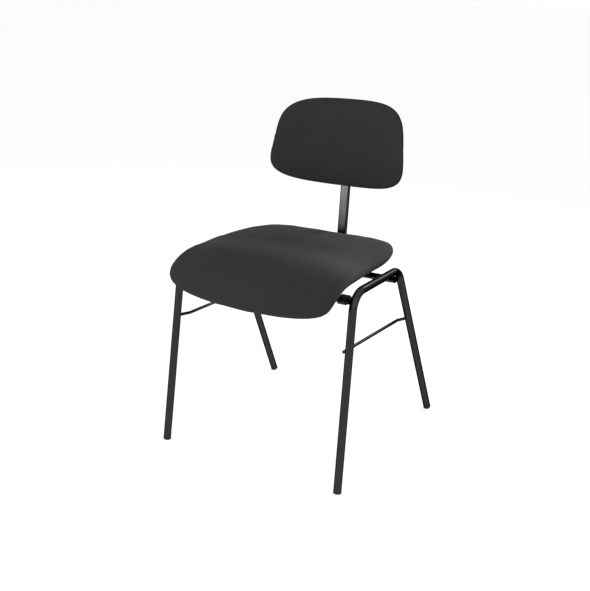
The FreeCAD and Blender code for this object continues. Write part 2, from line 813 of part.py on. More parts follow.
def ring_solid(centre, direction, start, end, outer, inner):
    """A round sleeve on a line."""
    body = rod_between(centre, direction, start, end, outer)
    return body.cut(rod_between(centre, direction, start - 1, end + 1, inner))


def screw_solid(seat, direction, length):
    """A button-head screw. Its head lies under the point seat and its shank runs on from
    there along direction."""
    head = size("screw_head_height")
    shank = rod_between(seat, direction, 0, length, size("screw_diameter") / 2)
    button = rod_between(seat, direction, -head, 0, size("screw_head_diameter") / 2)
    crown = seat - direction * head
    rim = [edge for edge in button.Edges if edge.Closed and edge.CenterOfMass.distanceToPoint(crown) < 0.1]
    button = button.makeFillet(head * 0.6, rim)
    flat = size("screw_socket") / math.sqrt(3)
    corners = [Vector(flat * math.cos(k * math.pi / 3), flat * math.sin(k * math.pi / 3), 0) for k in range(7)]
    socket = Part.Face(Part.makePolygon(corners)).extrude(Vector(0, 0, size("screw_socket_depth") + 1))
    socket.Placement = Placement(crown - direction, Rotation(UP, direction))
    return button.fuse(shank).cut(socket).removeSplitter()


def nut_solid(seat, direction, barrel):
    """A flanged nut. Its flange sits on the point seat and its barrel runs back from there,
    against direction."""
    flange = rod_between(seat, direction, 0, flange_thickness, flange_radius)
    sleeve = rod_between(seat, direction, -barrel, 0, size("nut_barrel_diameter") / 2)
    bore = rod_between(seat, direction, -barrel - 1, flange_thickness + 1, size("screw_diameter") / 2 + gap / 5)
    return flange.fuse(sleeve).cut(bore).removeSplitter()


screws, washers, spacers, nuts = [], [], [], []
board_space = seat_layer(board_bottom + size("seat_board_thickness") * 4, board_bottom - gap, gap)
for spot, seat in zip(seat_screws, nut_seats):
    start = -member_half - gap
    washer_end = start - size("washer_thickness")
    head_seat = spot + UP * (washer_end - gap)
    screws.append(screw_solid(head_seat, UP, seat.z + flange_thickness - head_seat.z))
    washers.append(ring_solid(spot, UP, washer_end, start, size("washer_diameter") / 2, hole_radius))
    tall = ring_solid(spot, UP, member_half + gap, SCREW_REACH, size("spacer_diameter") / 2, hole_radius)
    spacers.append(nearest_solid(tall.cut(board_space), spot))
    nuts.append(nut_solid(seat, UP, size("seat_board_thickness") * 0.6))
feature("seat_screws", Part.makeCompound(screws))
feature("seat_screw_washers", Part.makeCompound(washers))
feature("seat_spacers", Part.makeCompound(spacers))
feature("seat_nuts", Part.makeCompound(nuts))


# The backrest's middle surface is bent about an upright line in front of it and leans back.
back_lean = math.radians(size("back_lean"))
back_up = Vector(0, math.sin(back_lean), math.cos(back_lean))
back_centre = Vector(0, size("back_reach"), size("back_height"))


def back_point(x, along, lift):
    """A point of the backrest, up from its middle, lifted forwards off the surface. The
    points of one x lie in one plane, turned a little by the backrest's taper."""
    share = along / size("back_half_height")
    lift = lift * math.hypot(1, x / size("back_bend_radius"))
    up = back_up * along + Vector(0, -math.cos(back_lean), math.sin(back_lean)) * lift
    across = x * (1 - size("back_taper") * up.z / size("back_half_height"))
    bend = size("back_edge_set") * share ** 2 - across ** 2 / (2 * size("back_bend_radius"))
    return back_centre + up + Vector(across, bend, 0)


def back_reach(inset):
    """The half height of the backrest at x, with its bowed top and bottom edges."""
    def reach(x, way):
        bow = size("back_top_bow") if way > 0 else size("back_bottom_bow")
        return size("back_half_height") + bow * (1 - (x / size("back_half_width")) ** 2) - inset
    return reach


back_powers = {1: size("back_top_power"), -1: size("back_bottom_power")}


def back_form(inset, crown, depth):
    """A form in the backrest's outline, crowned to the front and dished to the back."""
    return cushion_form(
        size("back_half_width") - inset, back_reach(inset), back_powers, back_point,
        lambda out: crown * math.sqrt(1 - out ** size("back_crown_power")),
        lambda out: -depth * math.sqrt(1 - out ** size("back_side_power")),
    )


def back_layer(top, bottom, spread):
    """A board of the backrest, spread wider than the backrest board's own outline."""
    inset = size("back_board_setback") - spread
    half_width = size("back_half_width") - inset
    return layer_form(half_width, back_reach(inset), back_powers, back_point, top, bottom)


# The fabric is the crowned front and turns in at the edge, where it meets the plastic shell
# that closes the back.
shell_wall = size("back_shell_wall")
shell_depth = size("back_shell_depth")
back_board_bottom = -(shell_depth - shell_wall - gap * 6)
back_board_top = back_board_bottom + size("back_board_thickness")
front_half = layer_form(
    size("back_half_width") * 1.2, back_reach(-size("back_half_height") * 0.2), back_powers, back_point,
    size("back_crown") * 2, 0.0,
)
rear_half = layer_form(
    size("back_half_width") * 1.2, back_reach(-size("back_half_height") * 0.2), back_powers, back_point,
    -gap, -size("back_crown") * 2,
)
outer_form = back_form(0.0, size("back_crown"), shell_depth)
skin_form = back_form(cover, size("back_crown") - cover, shell_depth - shell_wall)
foam_form = back_form(cover + gap, size("back_crown") - cover - gap, shell_depth - shell_wall - gap)
shell = outer_form.common(rear_half).cut(back_form(shell_wall, shell_wall, shell_depth - shell_wall))
back_board = back_layer(back_board_top, back_board_bottom, 0.0)
back_foam = foam_form.common(front_half).cut(back_layer(back_board_top + gap, back_board_bottom, gap))
back_screws, back_spacers, back_nuts = [], [], []
post_half = size("post_depth") / 2
shell_space = back_form(-gap, shell_depth, shell_depth + gap)
for spot in back_screw_spots:
    forward = -post_back
    line = Part.makeLine(spot, spot + forward * SCREW_REACH)
    meet = back_board.common(line).BoundBox
    board_face = max(spot.y - meet.YMin, 0) / post_back.y
    seat = spot + forward * (board_face - size("nut_flange_thickness"))
    back_board = back_board.cut(rod_between(seat, forward, -SCREW_REACH, 1, barrel_hole))
    back_board = back_board.cut(rod_between(seat, forward, 0, SCREW_REACH, flange_pocket))
    back_foam = back_foam.cut(rod_between(seat, forward, 0, flange_thickness + gap * 2, flange_pocket))
    shell = shell.cut(rod_between(spot, forward, 0, SCREW_REACH, barrel_hole))
    head_seat = spot - forward * (post_half + gap)
    length = (seat - head_seat).Length + flange_thickness
    back_screws.append(screw_solid(head_seat, forward, length))
    tall = ring_solid(spot, forward, post_half + gap, SCREW_REACH, size("back_spacer_diameter") / 2, hole_radius)
    back_spacers.append(nearest_solid(tall.cut(shell_space), spot))
    back_nuts.append(nut_solid(seat, forward, size("back_board_thickness") * 0.6))
feature("back_board", back_board)
feature("back_foam", back_foam)
feature("back_cover", outer_form.common(front_half).cut(skin_form))
feature("back_shell", shell)
feature("back_screws", Part.makeCompound(back_screws))
feature("back_spacers", Part.makeCompound(back_spacers))
feature("back_nuts", Part.makeCompound(back_nuts))


doc.recompute()
for item in doc.Objects:
    if "Invalid" in item.State or "Error" in item.State:
        raise RuntimeError("not built: " + item.Name)
os.makedirs("parts", exist_ok=True)
for piece in nodes:
    if piece.Shape.isNull() or not piece.Shape.isValid():
        raise RuntimeError("bad shape: " + piece.Label)
    piece.Shape.exportStep("parts/" + piece.Label + ".step")
print(len(nodes), "nodes written")
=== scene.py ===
import math

import bpy
import numpy as np
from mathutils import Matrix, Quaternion, Vector


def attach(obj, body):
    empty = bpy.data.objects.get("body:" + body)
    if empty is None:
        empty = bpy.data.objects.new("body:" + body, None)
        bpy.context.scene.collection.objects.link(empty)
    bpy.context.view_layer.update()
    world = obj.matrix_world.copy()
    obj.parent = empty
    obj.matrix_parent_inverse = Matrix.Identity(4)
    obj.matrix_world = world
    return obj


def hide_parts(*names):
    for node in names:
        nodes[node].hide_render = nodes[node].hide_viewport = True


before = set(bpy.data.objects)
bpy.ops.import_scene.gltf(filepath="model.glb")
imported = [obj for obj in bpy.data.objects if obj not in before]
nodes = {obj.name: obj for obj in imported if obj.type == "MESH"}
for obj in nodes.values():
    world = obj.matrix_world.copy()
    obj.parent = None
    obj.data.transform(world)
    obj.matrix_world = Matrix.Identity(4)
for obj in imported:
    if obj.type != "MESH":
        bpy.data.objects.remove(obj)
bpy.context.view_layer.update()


# The welded steel frame: two bent round tubes, two flat-oval cross members, a thin rod in
# each side and the flat post of the backrest. All of it is coated in one go with black
# powder, which sets to a hard gloss with a faint orange-peel ripple.

class Value:
    """The output of a node, which takes part in sums, differences and products."""

    def __init__(self, finish, socket):
        self.finish = finish
        self.socket = socket

    def maths(self, operation, first, second):
        return self.finish.node("ShaderNodeMath", {"operation": operation}, {0: first, 1: second})

    def __add__(self, other):
        return self.maths("ADD", self, other)

    def __sub__(self, other):
        return self.maths("SUBTRACT", self, other)

    def __rsub__(self, other):
        return self.maths("SUBTRACT", other, self)

    def __mul__(self, other):
        return self.maths("MULTIPLY", self, other)

    __radd__ = __add__
    __rmul__ = __mul__


class Finish:
    """One procedural material on Object coordinates."""

    def __init__(self, name):
        self.material = bpy.data.materials.new(name)
        self.material.use_nodes = True
        self.tree = self.material.node_tree
        self.shader = self.tree.nodes["Principled BSDF"]
        self.place = self.node("ShaderNodeTexCoord", out="Object")

    def feed(self, socket, value):
        """Links a Value to a socket, or sets the socket to a number or a colour."""
        if isinstance(value, Value):
            self.tree.links.new(value.socket, socket)
        elif isinstance(value, tuple) and len(value) == 3 and socket.type == "RGBA":
            socket.default_value = (*value, 1.0)
        else:
            socket.default_value = value

    def node(self, kind, settings=None, inputs=None, out=0):
        """Adds a node of this kind, with its settings first and then its inputs."""
        made = self.tree.nodes.new(kind)
        for name, setting in (settings or {}).items():
            setattr(made, name, setting)
        for name, value in (inputs or {}).items():
            self.feed(made.inputs[name], value)
        return Value(self, made.outputs[out])

    def along(self, axis):
        """The Object coordinate on this axis, in metres."""
        return self.node("ShaderNodeSeparateXYZ", {}, {"Vector": self.place}, axis)

    def noise(self, scale, detail=2.0, place=None):
        """Soft noise from 0 to 1 with this many waves to the metre."""
        settings = {"noise_dimensions": "3D"}
        inputs = {"Vector": place or self.place, "Scale": scale, "Detail": detail}
        return self.node("ShaderNodeTexNoise", settings, inputs, "Fac")

    def between(self, share, low, high):
        """A colour that goes from low to high as share goes from 0 to 1."""
        inputs = {"Factor": share, 6: low, 7: high}
        return self.node("ShaderNodeMix", {"data_type": "RGBA"}, inputs, 2)

    def threads(self, axis, scale):
        """The ridges of a cloth's threads, which follow one another on this axis."""
        inputs = {"Vector": self.place, "Scale": scale, "Distortion": 0.6}
        return self.node("ShaderNodeTexWave", {"bands_direction": axis}, inputs)

    def step(self, value, low, high):
        """0 below low, 1 above high, smooth between."""
        settings = {"interpolation_type": "SMOOTHSTEP"}
        inputs = {"Value": value, "From Min": low, "From Max": high}
        return self.node("ShaderNodeMapRange", settings, inputs)

    def relief(self, height, distance):
        """Bumps of this height in metres on the surface."""
        inputs = {"Height": height, "Distance": distance, "Strength": 1.0}
        self.put({"Normal": self.node("ShaderNodeBump", {}, inputs)})

    def put(self, inputs):
        for name, value in inputs.items():
            self.feed(self.shader.inputs[name], value)

    def cover(self, *names):
        """Gives these solids of the frame this finish alone."""
        for name in names:
            nodes[name].data.materials.clear()
            nodes[name].data.materials.append(self.material)


powder = Finish("black_powder_coat")
peel = powder.noise(900.0, 3.0)
cloud = powder.noise(14.0, 4.0)
scuff = powder.step(powder.noise(160.0, 6.0), 0.68, 0.8)
low_legs = 1.0 - powder.step(powder.along("Z"), 0.02, 0.2)
wear = scuff * low_legs
powder.put({
    "Base Color": powder.between(wear * 0.5, (0.037, 0.037, 0.038), (0.07, 0.07, 0.072)),
    "Metallic": 1.0,
    "Roughness": 0.2 + cloud * 0.08 + wear * 0.25,
    "Specular Tint": (0.18, 0.18, 0.18, 1.0),
})
powder.relief(peel, 0.00006)
powder.cover(
    "left_side_frame", "right_side_frame", "front_cross_member", "rear_cross_member",
    "left_side_rod", "right_side_rod", "back_post",
)


# The weld beads: one over and one under each end of the front cross member, where it butts
# on the side frames, and one across the post on each side of both cross members. They are
# under the same powder as the frame.

MEMBER_END = 0.2407
FRONT_MEMBER = (-0.1754, 0.4613)
REAR_MEMBER = (0.041, 0.4502)
END_BEAD_REACH = 0.008
END_BEAD_LEVEL = 0.0062
END_BEAD_SAG = 0.0012
POST_BEAD_HALF = 0.0115
POST_BEAD_REACH = 0.0092
POST_BEAD_DROP = 0.0058
BEAD_RADIUS = 0.0019
BEAD_PITCH = 0.0017


def closed_mesh(name, forms):
    """A mesh of closed forms. Each form is rings of points (ring, point, xyz), closed round
    each ring and ended with a fan to the middle of its first and of its last ring."""
    points, faces, base = [], [], 0
    for rings in forms:
        count, around = rings.shape[:2]
        here = np.arange(around)
        ahead = np.roll(here, -1)
        row = (np.arange(count - 1) * around)[:, None]
        quads = [row + here, row + ahead, row + around + ahead, row + around + here]
        last = (count - 1) * around
        first_fan = [np.full(around, count * around), ahead, here]
        last_fan = [np.full(around, count * around + 1), last + here, last + ahead]
        points += [rings.reshape(-1, 3), rings[:1].mean(1), rings[-1:].mean(1)]
        faces += (np.stack(quads, -1).reshape(-1, 4) + base).tolist()
        faces += (np.stack(first_fan, -1) + base).tolist()
        faces += (np.stack(last_fan, -1) + base).tolist()
        base += count * around + 2
    mesh = bpy.data.meshes.new(name)
    mesh.from_pydata(np.concatenate(points).tolist(), [], faces)
    mesh.shade_smooth()
    made = bpy.data.objects.new(name, mesh)
    bpy.context.collection.objects.link(made)
    return made


def weld_bead(start, end, sag=0.0):
    """Rings of a bead from start to end. It ripples along its length, thins at its ends and,
    where it runs round a tube, sags off the straight line by a parabola."""
    way = np.linspace(0, 1, 60)[:, None]
    start, end = np.array(start), np.array(end)
    line = start + (end - start) * way + np.array([sag, 0, 0]) * (4 * way * (1 - way))
    along = (end - start) / np.linalg.norm(end - start)
    side = np.cross(along, (0, 0, 1))
    side /= np.linalg.norm(side)
    turn = np.linspace(0, 2 * math.pi, 12, endpoint=False)[:, None]
    circle = np.cos(turn) * side + np.sin(turn) * np.cross(side, along)
    ripple = 1 + 0.13 * np.sin(2 * math.pi * way * np.linalg.norm(end - start) / BEAD_PITCH)
    thin = np.sqrt(np.maximum(1 - (2 * way - 1) ** 6, 0.02))
    return line[:, None] + circle * (BEAD_RADIUS * ripple * thin)[:, None]


beads = []
for side in (-1, 1):
    for level in (-END_BEAD_LEVEL, END_BEAD_LEVEL):
        x, z = side * MEMBER_END, FRONT_MEMBER[1] + level
        beads.append(weld_bead(
            (x, FRONT_MEMBER[0] - END_BEAD_REACH, z),
            (x, FRONT_MEMBER[0] + END_BEAD_REACH, z), sag=-side * END_BEAD_SAG,
        ))
for member in (FRONT_MEMBER, REAR_MEMBER):
    for reach in (-POST_BEAD_REACH, POST_BEAD_REACH):
        y, z = member[0] + reach, member[1] - POST_BEAD_DROP
        beads.append(weld_bead((-POST_BEAD_HALF, y, z), (POST_BEAD_HALF, y, z)))
welds = closed_mesh("weld_beads", beads)
welds.data.materials.append(powder.material)
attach(welds, "root")


# The glides, the stacking buffers, the post's plugs and the spacers: black moulded plastic
# with the fine spark-eroded grain of the mould and a satin shine.

plastic = Finish("black_moulded_plastic")
grain = plastic.noise(2600.0, 2.0)
rub = plastic.step(plastic.noise(60.0, 5.0), 0.55, 0.75)
plastic.put({
    "Base Color": plastic.between(rub, (0.006, 0.006, 0.0065), (0.012, 0.012, 0.0125)),
    "Roughness": 0.5 + rub * 0.12,
    "Specular IOR Level": 0.3,
})
plastic.relief(grain, 0.00005)
plastic.cover(
    "left_stacking_buffer", "right_stacking_buffer", "front_left_glide", "front_right_glide",
    "rear_left_glide", "rear_right_glide", "post_top_plug", "post_front_plug",
    "seat_spacers", "back_spacers",
)


# What the upholstery hides or shows only from below: the moulded beech boards, the felt dust
# cover of the seat, and the fasteners, which are zinc-plated nuts and staples and black
# oxide screws and washers.

beech = Finish("moulded_beech")
grain_inputs = {"Vector": beech.place, "Scale": (60.0, 4.0, 60.0)}
grain_place = beech.node("ShaderNodeMapping", {}, grain_inputs)
streak = beech.noise(3.0, 6.0, grain_place)
beech.put({
    "Base Color": beech.between(streak, (0.36, 0.22, 0.11), (0.56, 0.39, 0.22)),
    "Roughness": 0.6 + streak * 0.1,
})
beech.relief(streak, 0.0002)
beech.cover("seat_board", "back_board")

felt = Finish("dust_cover_felt")
fibre = felt.noise(700.0, 8.0)
felt.put({
    "Base Color": felt.between(fibre, (0.012, 0.012, 0.013), (0.03, 0.03, 0.031)),
    "Roughness": 0.9,
    "Specular IOR Level": 0.15,
})
felt.relief(fibre, 0.0004)
felt.cover("seat_liner")

zinc = Finish("zinc_plate")
bloom = zinc.noise(300.0, 5.0)
zinc.put({
    "Base Color": zinc.between(bloom, (0.46, 0.46, 0.45), (0.6, 0.6, 0.59)),
    "Metallic": 1.0,
    "Roughness": 0.3 + bloom * 0.15,
})
zinc.cover("seat_nuts", "back_nuts")

oxide = Finish("black_oxide_steel")
stain = oxide.noise(500.0, 4.0)
oxide.put({
    "Base Color": oxide.between(stain, (0.018, 0.018, 0.019), (0.045, 0.044, 0.043)),
    "Metallic": 0.7,
    "Roughness": 0.35 + stain * 0.2,
})
oxide.cover("seat_screws", "seat_screw_washers", "back_screws")


# The seat: a board in a block of foam, covered in one piece of plain black cloth that is
# drawn round the rolled front and the sides and fixed under the board. The sizes are those
# of the solids, in metres.

SEAT_HALF_WIDTH = 0.2336
SEAT_HALF_LENGTH = 0.261
SEAT_FRONT_BOW = 0.0144
SEAT_TAPER = 0.019
SEAT_REAR_POWER = 3.3
SEAT_FRONT_POWER = 7.3
SEAT_KNOTS = np.array([0.0, 73.1, 154.9, 248.1, 388.2, 522.0]) / 1000
SEAT_ANGLES = np.radians([136.5, 30.9, -1.8, -6.5, -1.2, 3.1])
SEAT_CREST = (-0.0703, 0.4977)
SEAT_DISH = np.array([-0.0189, 0.0102, 0.0182])
SEAT_CROWN = 0.0291
SEAT_CROWN_POWER = 2.83
SEAT_UNDER = 0.0185
SEAT_UNDER_POWER = 30.0
SEAT_SLACK = 0.003  # how far the crown starts below its height, for the pad to swell into
SEAT_OVERHANG = 0.0022  # how far the outline starts outside its own, as swelling draws it in
SEAT_UNDER_EXTRA = 0.001  # how far the underside starts below the solid's
SEAT_RINGS = 56
SEAT_VOXEL = 0.005
SEAT_CAP = 0.0033
SEAT_TIED_REACH = -0.22

CLOTH_PRESSURE = 4.0
CLOTH_FRAMES = 20
CLOTH_SMOOTHINGS = 14
THREADS = 330.0  # the scale of the weave's waves


def points_of(mesh, what="co"):
    """The places, or the normals, of a mesh's vertices as an array."""
    found = np.empty(len(mesh.vertices) * 3)
    mesh.vertices.foreach_get(what, found)
    return found.reshape(-1, 3)


def place_points(mesh, points):
    mesh.vertices.foreach_set("co", points.ravel())
    mesh.update()


def settle(made):
    """Bakes an object's modifiers into its mesh."""
    solved = made.evaluated_get(bpy.context.evaluated_depsgraph_get())
    old = made.data
    made.data = bpy.data.meshes.new_from_object(solved)
    made.modifiers.clear()
    bpy.data.meshes.remove(old)
    made.data.shade_smooth()


def evened(mesh, moved):
    """What each point moves, evened out with what its neighbours move."""
    ends = np.empty(len(mesh.edges) * 2, dtype=np.int32)
    mesh.edges.foreach_get("vertices", ends)
    ends = ends.reshape(-1, 2)
    here, there = np.concatenate([ends, ends[:, ::-1]]).T
    beside = np.bincount(here, minlength=len(moved))[:, None]
    for smoothing in range(CLOTH_SMOOTHINGS):
        total = [np.bincount(here, moved[there, k], len(moved)) for k in range(3)]
        moved = (moved + np.stack(total, -1) / beside) / 2
    return moved


def inflate(made, voxel, cap, tied):
    """Fills a pad like a real one. Its form is meshed evenly, then Blender's Cloth swells it
    under pressure while the tied points stay, and no point moves over cap."""
    even = made.modifiers.new("even", "REMESH")
    even.mode = "VOXEL"
    even.voxel_size = voxel
    settle(made)
    start = points_of(made.data)
    pins = made.vertex_groups.new(name="tied")
    held = np.flatnonzero(tied(start, points_of(made.data, "normal")))
    pins.add(held.tolist(), 1.0, "REPLACE")
    cover = made.modifiers.new("cover", "CLOTH")
    cover.settings.quality = 5
    cover.settings.mass = 0.3
    cover.settings.tension_stiffness = 15.0
    cover.settings.compression_stiffness = 15.0
    cover.settings.shear_stiffness = 5.0
    cover.settings.bending_stiffness = 0.6
    cover.settings.use_pressure = True
    cover.settings.uniform_pressure_force = CLOTH_PRESSURE
    cover.settings.vertex_group_mass = "tied"
    cover.settings.effector_weights.gravity = 0.0
    for step in range(1, CLOTH_FRAMES + 1):
        bpy.context.scene.frame_set(step)
    solved = made.evaluated_get(bpy.context.evaluated_depsgraph_get())
    moved = points_of(solved.data) - start
    made.modifiers.clear()
    bpy.context.scene.frame_set(1)
    length = np.maximum(np.linalg.norm(moved, axis=1, keepdims=True), 1e-9)
    moved *= np.minimum(1, cap / length)
    place_points(made.data, start + evened(made.data, moved))
    finer = made.modifiers.new("finer", "SUBSURF")
    finer.levels = finer.render_levels = 1
    settle(made)


travel = np.linspace(-0.03, 0.54, 1141)
turning = np.interp(travel, SEAT_KNOTS, SEAT_ANGLES)


def running_sum(slope):
    """The sum of slope along travel, from 0 at its start."""
    return np.concatenate([[0], np.cumsum((slope[1:] + slope[:-1]) / 2 * np.diff(travel))])


side_y = running_sum(np.cos(turning))
side_z = running_sum(np.sin(turning))
side_y += SEAT_CREST[0] - np.interp(SEAT_KNOTS[3], travel, side_y)
side_z += SEAT_CREST[1] - np.interp(SEAT_KNOTS[3], travel, side_z)


def seat_surface(across, along, lift):
    """The seat's middle surface is a chain of arcs from front to rear whose sides rise with
    the square of the distance from the middle. lift is the distance off that surface."""
    distance = along + SEAT_HALF_LENGTH
    angle = np.interp(distance, travel, turning)
    dish = np.interp(distance, [0.0, SEAT_KNOTS[3], 2 * SEAT_HALF_LENGTH], SEAT_DISH)
    lift = lift + dish * (across / SEAT_HALF_WIDTH) ** 2
    y = np.interp(distance, travel, side_y) - lift * np.sin(angle)
    z = np.interp(distance, travel, side_z) + lift * np.cos(angle)
    x = across * (1 - SEAT_TAPER * (y - SEAT_CREST[0]) / SEAT_HALF_LENGTH)
    return np.stack([x, y, z], -1)


def power_oval(angle, half_width, half_long, powers, bows, inset):
    """The outline of a pad: a power oval with its own power and bow at each end."""
    sine, cosine = np.sin(angle), np.cos(angle)
    power = np.where(sine > 0, powers[0], powers[1])
    along = np.sign(sine) * np.abs(sine) ** (2 / power)
    across = np.sign(cosine) * np.abs(cosine) ** (2 / power)
    bow = np.where(sine > 0, bows[0], -bows[1]) * np.abs(along) * (1 - across ** 2)
    return across * (half_width - inset), along * (half_long - inset) + bow


def pad_rings(surface, outline, crown, under, crown_power, under_power, rows):
    """Rings from the middle of the top out to the outline and back to the middle of the
    underside. Each face falls from its full lift in the middle to none at the outline."""
    share = np.sin(np.linspace(0.02, 1, rows) * math.pi / 2) ** 0.8
    share = np.concatenate([share, share[-2::-1]])[:, None]
    across, along = outline
    top = np.arange(len(share))[:, None] < rows
    crowned = crown * np.sqrt(1 - np.minimum(share, 1) ** crown_power)
    flat = -under * np.sqrt(1 - np.minimum(share, 1) ** under_power)
    return surface(across * share, along * share, np.where(top, crowned, flat))


def sew(made, finish):
    made.data.materials.append(finish.material)
    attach(made, "root")


# The cloth is a fine weave with a nap. Its colour is painted lighter along the seat's brow,
# a painted sheen, and painted darker on the seat behind that, a painted shade.

cloth = Finish("plain_black_cloth")
weave = cloth.threads("X", THREADS) * cloth.threads("Y", THREADS)
nap = cloth.noise(1500.0, 4.0)
shade = cloth.noise(9.0, 3.0)
along_y = cloth.along("Y")
on_seat = 1.0 - cloth.step(cloth.along("Z"), 0.55, 0.6)
# Painted sheen: a lighter band on the seat's brow. Painted shade: the seat behind it is darker.
brow = cloth.step(along_y, -0.2, -0.105) * (1.0 - cloth.step(along_y, -0.12, -0.01))
painted_brow_sheen = brow * on_seat
painted_rear_shade = cloth.step(along_y, -0.1, 0.06) * on_seat
tone = 0.2 + weave * 0.2 + nap * 0.2 + shade * 0.2 + painted_brow_sheen * 0.62 - painted_rear_shade * 0.16
cloth.put({
    "Base Color": cloth.between(tone, (0.022, 0.022, 0.0225), (0.052, 0.052, 0.053)),
    "Roughness": 0.84 + nap * 0.1,
    "Specular IOR Level": 0.08,
})
cloth.relief(weave * 0.6 + nap * 0.4, 0.00022)

around = np.linspace(0, 2 * math.pi, 200, endpoint=False)
seat_outline = power_oval(
    around, SEAT_HALF_WIDTH, SEAT_HALF_LENGTH, (SEAT_REAR_POWER, SEAT_FRONT_POWER),
    (0.0, SEAT_FRONT_BOW), -SEAT_OVERHANG,
)
seat_rings = pad_rings(
    seat_surface, seat_outline, SEAT_CROWN - SEAT_SLACK, SEAT_UNDER + SEAT_UNDER_EXTRA,
    SEAT_CROWN_POWER, SEAT_UNDER_POWER, SEAT_RINGS,
)
seat_pad = closed_mesh("seat_pad", [seat_rings])


def seat_place(points):
    """Where points lie on the seat: how far across from the middle, and how far out as a
    share of the outline."""
    front = np.argmin(side_y)
    distance = np.interp(points[:, 1], side_y[front:], travel[front:])
    across = points[:, 0] / (1 - SEAT_TAPER * (points[:, 1] - SEAT_CREST[0]) / SEAT_HALF_LENGTH)
    along = distance - SEAT_HALF_LENGTH
    power = np.where(along > 0, SEAT_REAR_POWER, SEAT_FRONT_POWER)
    half_long = np.where(along > 0, SEAT_HALF_LENGTH, SEAT_HALF_LENGTH + SEAT_FRONT_BOW)
    wide = np.abs(across / SEAT_HALF_WIDTH) ** power
    return across, (wide + np.abs(along / half_long) ** power) ** (1 / power)


def seat_tied(points, normals):
    """The underside, which lies on the board, behind the rolled front."""
    return (normals[:, 2] < -0.9) & (points[:, 1] > SEAT_TIED_REACH)


inflate(seat_pad, SEAT_VOXEL, SEAT_CAP, seat_tied)

# Each side of the seat has a soft valley inside a fuller edge. Underneath, the cover ends
# round a rounded opening, where the board with its dust cover shows.

VALLEY_DEPTH = 0.002
VALLEY_SHARE = 0.8
VALLEY_WIDTH = 0.09
RIM_HEIGHT = 0.001
RIM_SHARE = 0.94
RIM_WIDTH = 0.05
OPENING_FRONT = -0.1997
OPENING_REAR = 0.1523
OPENING_HALF = 0.1876
OPENING_CORNER = 0.036
OPENING_DEPTH = 0.005
OPENING_EDGE = 0.003

points = points_of(seat_pad.data)
normals = points_of(seat_pad.data, "normal")
across, share = seat_place(points)
sideways = np.clip(np.abs(across) / SEAT_HALF_WIDTH / np.maximum(share, 0.01), 0, 1) ** 6
valley = VALLEY_DEPTH * np.exp(-((share - VALLEY_SHARE) / VALLEY_WIDTH) ** 2)
valley = valley - RIM_HEIGHT * np.exp(-((share - RIM_SHARE) / RIM_WIDTH) ** 2)
top = np.clip(normals[:, 2] * 3, 0, 1)
points[:, 2] -= valley * sideways * top

middle = (OPENING_FRONT + OPENING_REAR) / 2
half_long = (OPENING_REAR - OPENING_FRONT) / 2
out_x = np.abs(points[:, 0]) - (OPENING_HALF - OPENING_CORNER)
out_y = np.abs(points[:, 1] - middle) - (half_long - OPENING_CORNER)
corner = np.hypot(np.maximum(out_x, 0), np.maximum(out_y, 0))
corner = corner + np.minimum(np.maximum(out_x, out_y), 0)
inside = np.clip((OPENING_CORNER - corner) / OPENING_EDGE, 0, 1)
below = np.clip(-normals[:, 2] * 4 - 2, 0, 1)
points[:, 2] += OPENING_DEPTH * inside * below
place_points(seat_pad.data, points)
sew(seat_pad, cloth)

# Staples hold the cloth to the board round the opening. Each is a flat wire 11 mm long whose
# ends are bent into the board.

STAPLE_HALF = 0.0055
STAPLE_HALF_WIDTH = 0.0006
STAPLE_HALF_HEIGHT = 0.0004
STAPLE_BENT = 0.0016
STAPLE_SETBACK = 0.007
STAPLES_A_SIDE = 9
BELOW_SEAT = 0.40


def staple(x, y, turn):
    """Rings of a staple's back, laid on the cloth over this spot of the underside."""
    found = seat_pad.ray_cast((x, y, BELOW_SEAT), (0, 0, 1))[1]
    way = np.linspace(-1, 1, 13)[:, None]
    sunk = STAPLE_BENT * np.maximum(np.abs(way) - 0.8, 0) / 0.2
    along = np.array([math.cos(turn), math.sin(turn), 0])
    line = np.array(found) + STAPLE_HALF * way * along + (0, 0, 1) * sunk
    angle = np.linspace(0, 2 * math.pi, 8, endpoint=False)[:, None]
    wide = STAPLE_HALF_WIDTH * np.cos(angle) * np.array([-math.sin(turn), math.cos(turn), 0])
    return line[:, None] + wide + STAPLE_HALF_HEIGHT * np.sin(angle) * np.array([0, 0, 1])


edge = OPENING_HALF + STAPLE_SETBACK
ends = (OPENING_FRONT - STAPLE_SETBACK, OPENING_REAR + STAPLE_SETBACK)
lengthwise = np.linspace(-0.15, 0.1, STAPLES_A_SIDE)
crosswise = np.linspace(-0.13, 0.13, STAPLES_A_SIDE)
spots = [(side * edge, y, math.pi / 2) for side in (-1, 1) for y in lengthwise]
spots += [(x, y, 0.0) for y in ends for x in crosswise]
staples = closed_mesh("seat_staples", [staple(*spot) for spot in spots])
staples.data.materials.append(zinc.material)
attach(staples, "root")
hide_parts("seat_cover", "seat_foam")


# The backrest: a curved board with a foam pad under the same cloth, closed at the back by a
# thin moulded shell whose rim meets the cloth all round. The sizes are those of the solids,
# in metres.

BACK_HALF_WIDTH = 0.194
BACK_HALF_HEIGHT = 0.1055
BACK_CENTRE = (0.2346, 0.7495)
BACK_LEAN = math.radians(10.1)
BACK_BEND = 0.38
BACK_TAPER = 0.083
BACK_EDGE_SET = 0.003
BACK_POWERS = (4.1, 4.8)
BACK_BOWS = (0.0017, 0.019)
BACK_CROWN = 0.02
BACK_CROWN_POWER = 2.6
BACK_UNDER = 0.003
BACK_UNDER_POWER = 20.0
BACK_SLACK = 0.0018
BACK_OVERHANG = 0.0005
BACK_RINGS = 48
BACK_VOXEL = 0.0045
BACK_CAP = 0.0022


